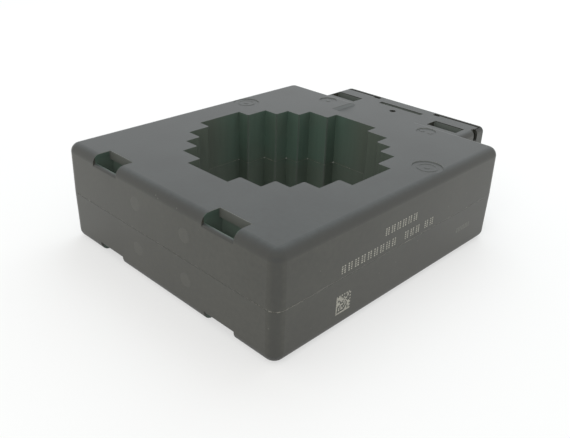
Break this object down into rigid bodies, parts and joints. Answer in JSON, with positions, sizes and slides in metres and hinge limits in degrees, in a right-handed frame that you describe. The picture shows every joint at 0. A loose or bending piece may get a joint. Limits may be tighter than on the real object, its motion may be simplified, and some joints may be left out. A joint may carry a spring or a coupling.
{
  "type": "current transformer",
  "caption": "Flat moulded case with a stepped window for busbars or a round cable, bracket pockets along its foot and a terminal box with hinged covers over the screw clamps.",
  "frame": {"origin": "centre of the stepped window on the rear face, which is the face it lies on", "axes": "+Z through the window towards the front face, +X towards the terminal box, -X towards the foot pockets"},
  "size_m": [0.1432, 0.1142, 0.04],
  "materials": {
    "case_plastic": "fine spark-eroded texture, dark grey, faintly blue on top",
    "cover_plastic": "as the case, a little smoother",
    "core_steel": "wound silicon-steel strip",
    "cap_plastic": "natural nylon",
    "winding_copper": "enamelled copper wire",
    "winding_tape": "polyester tape",
    "foam": "closed-cell foam",
    "terminal_brass": "bright machined brass",
    "zinc_steel": "zinc-plated steel",
    "lead_insulation": "soft insulation"
  },
  "bodies": {
    "housing": {"front_shell": "case_plastic", "rear_shell": "case_plastic", "core_ring": "core_steel", "core_cap_front": "cap_plastic", "core_cap_rear": "cap_plastic", "secondary_winding": "winding_copper", "winding_tape": "winding_tape", "front_pads": "foam", "rear_pads": "foam", "ring_spacers": "foam", "terminal_bar_s1": "terminal_brass", "terminal_bar_s2": "terminal_brass", "lead_s1": "lead_insulation", "lead_s2": "lead_insulation", "joint_sleeve_s1": "lead_insulation", "joint_sleeve_s2": "lead_insulation"},
    "cover_s1": {"terminal_cover_s1": "cover_plastic"},
    "clamp_s1": {"wire_clamp_s1": "zinc_steel", "spring_washer_s1": "zinc_steel"},
    "screw_s1": {"terminal_screw_s1": "zinc_steel"},
    "cover_s2": {"terminal_cover_s2": "cover_plastic"},
    "clamp_s2": {"wire_clamp_s2": "zinc_steel", "spring_washer_s2": "zinc_steel"},
    "screw_s2": {"terminal_screw_s2": "zinc_steel"}
  },
  "joints": [
    {"name": "cover_s1_hinge", "type": "hinge", "parent": "housing", "child": "cover_s1", "pos_m": [0.07338, 0.0376, 0.02], "axis": [0, 0, 1], "range_deg": [0, 95]},
    {"name": "clamp_s1_slide", "type": "slide", "parent": "housing", "child": "clamp_s1", "axis": [-1, 0, 0], "range_m": [0, 0.004]},
    {"name": "screw_s1_turn", "type": "hinge", "parent": "clamp_s1", "child": "screw_s1", "pos_m": [0.07188, 0.0275, 0.02], "axis": [-1, 0, 0], "range_deg": [0, 1800]},
    {"name": "cover_s2_hinge", "type": "hinge", "parent": "housing", "child": "cover_s2", "pos_m": [0.07338, -0.0376, 0.02], "axis": [0, 0, -1], "range_deg": [0, 95]},
    {"name": "clamp_s2_slide", "type": "slide", "parent": "housing", "child": "clamp_s2", "axis": [-1, 0, 0], "range_m": [0, 0.004]},
    {"name": "screw_s2_turn", "type": "hinge", "parent": "clamp_s2", "child": "screw_s2", "pos_m": [0.07188, -0.0275, 0.02], "axis": [-1, 0, 0], "range_deg": [0, 1800]}
  ],
  "couplings": [
    {"joint": "screw_s1_turn", "follows": "clamp_s1_slide", "rad_per_m": 7853.9},
    {"joint": "screw_s2_turn", "follows": "clamp_s2_slide", "rad_per_m": 7853.9}
  ]
}
